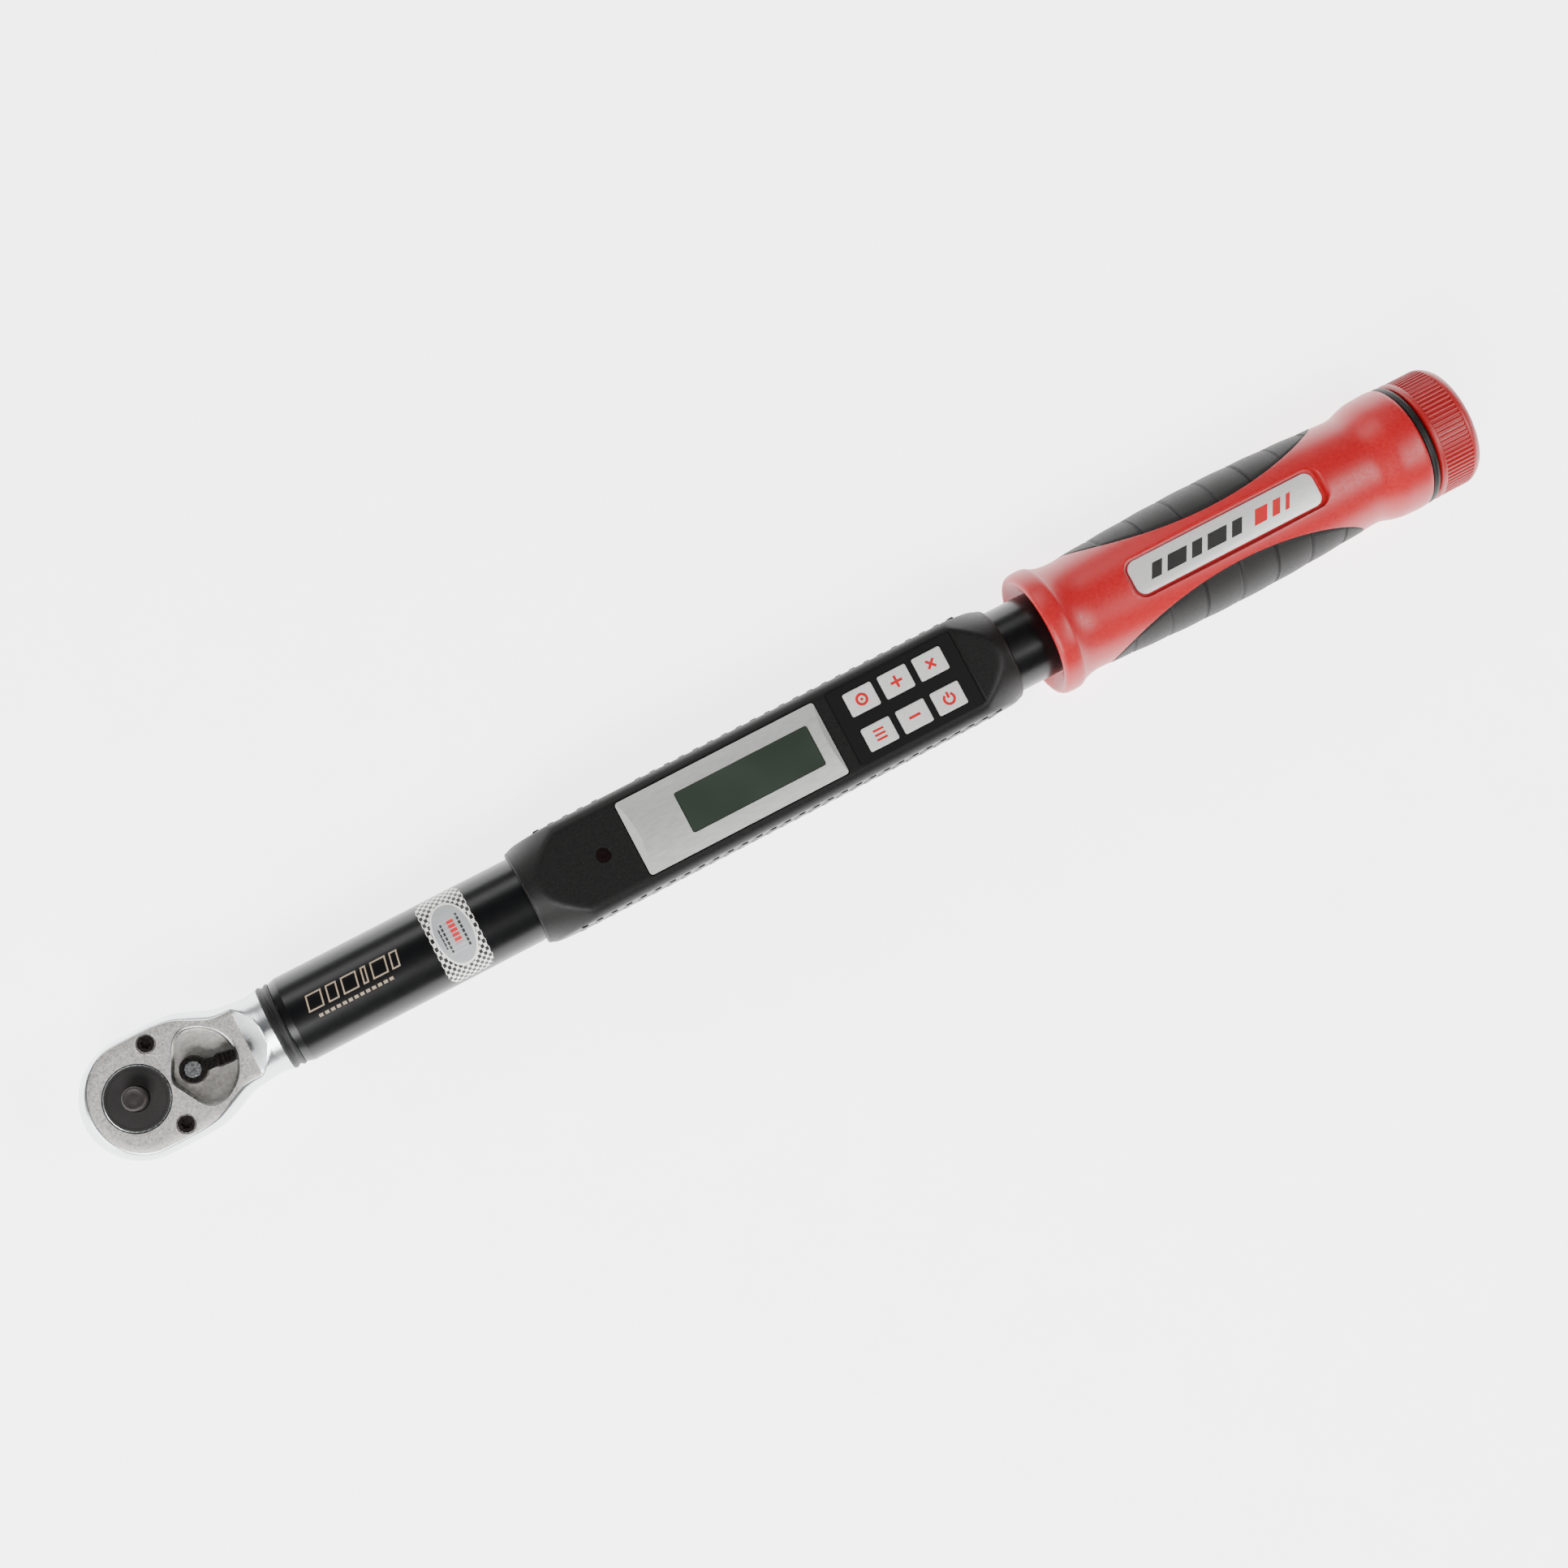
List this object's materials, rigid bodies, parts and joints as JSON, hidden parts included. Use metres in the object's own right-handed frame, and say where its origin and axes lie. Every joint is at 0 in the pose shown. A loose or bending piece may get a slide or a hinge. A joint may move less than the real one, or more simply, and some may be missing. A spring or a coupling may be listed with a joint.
{
  "type": "torque wrench",
  "caption": "Long-handled electronic torque wrench with a reversible square-drive ratchet head, display, key pad and screw-on battery cap; tightens fasteners to a set torque.",
  "frame": {"origin": "on the square drive's axis, in the plane of the tube's axis", "axes": "+X from the drive axis along the tube to the end cap, +Z out of the head's lever side and the display, so the square drive points along -Z; +Y completes a right-handed frame"},
  "size_m": [0.4389, 0.038, 0.0379],
  "materials": {
    "satin_chrome": "satin chrome plate, sand-blasted flat face",
    "plate_steel": "satin ground",
    "black_oxide": "black oxide",
    "drive_black": "black phosphate",
    "button_black": "black phosphate",
    "ball_steel": "polished",
    "lever_black": "gloss black",
    "pin_steel": "satin turned",
    "pawl_steel": "hardened steel",
    "seal_rubber": "moulded rubber",
    "tube_black": "gloss black coating, laser-etched band",
    "beam_steel": "ground alloy steel",
    "gauge_foil": "polyimide foil",
    "dowel_steel": "ground",
    "ribbon_film": "polyimide film",
    "label_print": "printed vinyl",
    "housing_black": "fine spark-eroded texture",
    "housing_black_low": "fine spark-eroded texture",
    "screw_zinc": "zinc plate",
    "bezel_silver": "satin silver paint",
    "window_dark": "dark display window",
    "display_unit": "display cell",
    "board_green": "solder mask",
    "chip_black": "moulded epoxy",
    "buzzer_black": "moulded plastic",
    "dome_brass": "pressed",
    "led_body": "clear resin",
    "lens_red": "dark red lens",
    "overlay_black": "semi-gloss film",
    "key_set_grey": "light grey, printed symbol",
    "key_plus_grey": "light grey, printed symbol",
    "key_clear_grey": "light grey, printed symbol",
    "key_mode_grey": "light grey, printed symbol",
    "key_minus_grey": "light grey, printed symbol",
    "key_power_grey": "light grey, printed symbol",
    "lead_red": "wire insulation",
    "carrier_black": "moulded plastic",
    "cell_wrap": "printed cell jacket",
    "contact_brass": "pressed",
    "grip_red": "soft-touch red",
    "insert_black_left": "moulded rubber",
    "insert_black_right": "moulded rubber",
    "badge_silver": "brushed",
    "cap_rubber": "moulded rubber",
    "cap_red": "moulded red",
    "cap_brass": "pressed"
  },
  "bodies": {
    "frame": {"ratchet_head": "satin_chrome", "cover_plate": "plate_steel", "cover_screws": "black_oxide", "neck_seal": "seal_rubber", "main_tube": "tube_black", "load_beam": "beam_steel", "strain_gauges": "gauge_foil", "beam_pins": "dowel_steel", "sensor_ribbon": "ribbon_film", "inspection_label": "label_print", "housing_top": "housing_black", "housing_bottom": "housing_black_low", "housing_screws": "screw_zinc", "bezel": "bezel_silver", "lcd_window": "window_dark", "lcd_module": "display_unit", "pcb": "board_green", "pcb_chips": "chip_black", "buzzer": "buzzer_black", "key_domes": "dome_brass", "status_led": "led_body", "led_lens": "lens_red", "keypad_panel": "overlay_black", "battery_leads": "lead_red", "battery_carrier": "carrier_black", "battery_cells": "cell_wrap", "battery_contact": "contact_brass", "grip_sleeve": "grip_red", "insert_left": "insert_black_left", "insert_right": "insert_black_right", "badge_plate": "badge_silver"},
    "drive": {"drive_gear": "drive_black"},
    "release": {"release_button": "button_black"},
    "ball": {"detent_ball": "ball_steel"},
    "selector": {"lever": "lever_black", "lever_pin": "pin_steel"},
    "pawl": {"pawl": "pawl_steel"},
    "cap_seat": {"cap_seal": "cap_rubber"},
    "cap": {"end_cap": "cap_red", "cap_contact": "cap_brass"},
    "key_set": {"key_set": "key_set_grey"},
    "key_plus": {"key_plus": "key_plus_grey"},
    "key_clear": {"key_clear": "key_clear_grey"},
    "key_mode": {"key_mode": "key_mode_grey"},
    "key_minus": {"key_minus": "key_minus_grey"},
    "key_power": {"key_power": "key_power_grey"}
  },
  "joints": [
    {"name": "drive_spin", "type": "hinge", "parent": "frame", "child": "drive", "pos_m": [0, 0, 0], "axis": [0, 0, 1], "continuous": true},
    {"name": "release_press", "type": "slide", "parent": "drive", "child": "release", "axis": [0, 0, -1], "range_m": [0, 0.0024], "stiffness_N_per_m": 500, "springref_m": -0.002},
    {"name": "ball_retract", "type": "slide", "parent": "drive", "child": "ball", "axis": [0, -1, 0], "range_m": [0, 0.00075]},
    {"name": "lever_turn", "type": "hinge", "parent": "frame", "child": "selector", "pos_m": [0.01675, 0, 0], "axis": [0, 0, 1], "range_deg": [0, 14.8]},
    {"name": "pawl_rock", "type": "hinge", "parent": "frame", "child": "pawl", "pos_m": [0.01675, 0, 0], "axis": [0, 0, 1], "range_deg": [0, 8]},
    {"name": "press_set", "type": "slide", "parent": "frame", "child": "key_set", "axis": [0, 0, -1], "range_m": [0, 0.0005], "stiffness_N_per_m": 800, "springref_m": -0.0006},
    {"name": "press_plus", "type": "slide", "parent": "frame", "child": "key_plus", "axis": [0, 0, -1], "range_m": [0, 0.0005], "stiffness_N_per_m": 800, "springref_m": -0.0006},
    {"name": "press_clear", "type": "slide", "parent": "frame", "child": "key_clear", "axis": [0, 0, -1], "range_m": [0, 0.0005], "stiffness_N_per_m": 800, "springref_m": -0.0006},
    {"name": "press_mode", "type": "slide", "parent": "frame", "child": "key_mode", "axis": [0, 0, -1], "range_m": [0, 0.0005], "stiffness_N_per_m": 800, "springref_m": -0.0006},
    {"name": "press_minus", "type": "slide", "parent": "frame", "child": "key_minus", "axis": [0, 0, -1], "range_m": [0, 0.0005], "stiffness_N_per_m": 800, "springref_m": -0.0006},
    {"name": "press_power", "type": "slide", "parent": "frame", "child": "key_power", "axis": [0, 0, -1], "range_m": [0, 0.0005], "stiffness_N_per_m": 800, "springref_m": -0.0006},
    {"name": "cap_travel", "type": "slide", "parent": "frame", "child": "cap_seat", "axis": [1, 0, 0], "range_m": [0, 0.003]},
    {"name": "cap_turn", "type": "hinge", "parent": "cap_seat", "child": "cap", "pos_m": [0.41, 0, 0], "axis": [1, 0, 0], "range_deg": [0, 360]}
  ],
  "couplings": [
    {"joint": "ball_retract", "follows": "release_press", "ratio": 0.3125},
    {"joint": "pawl_rock", "follows": "lever_turn", "ratio": 0.54},
    {"joint": "cap_turn", "follows": "cap_travel", "rad_per_m": 2094}
  ]
}
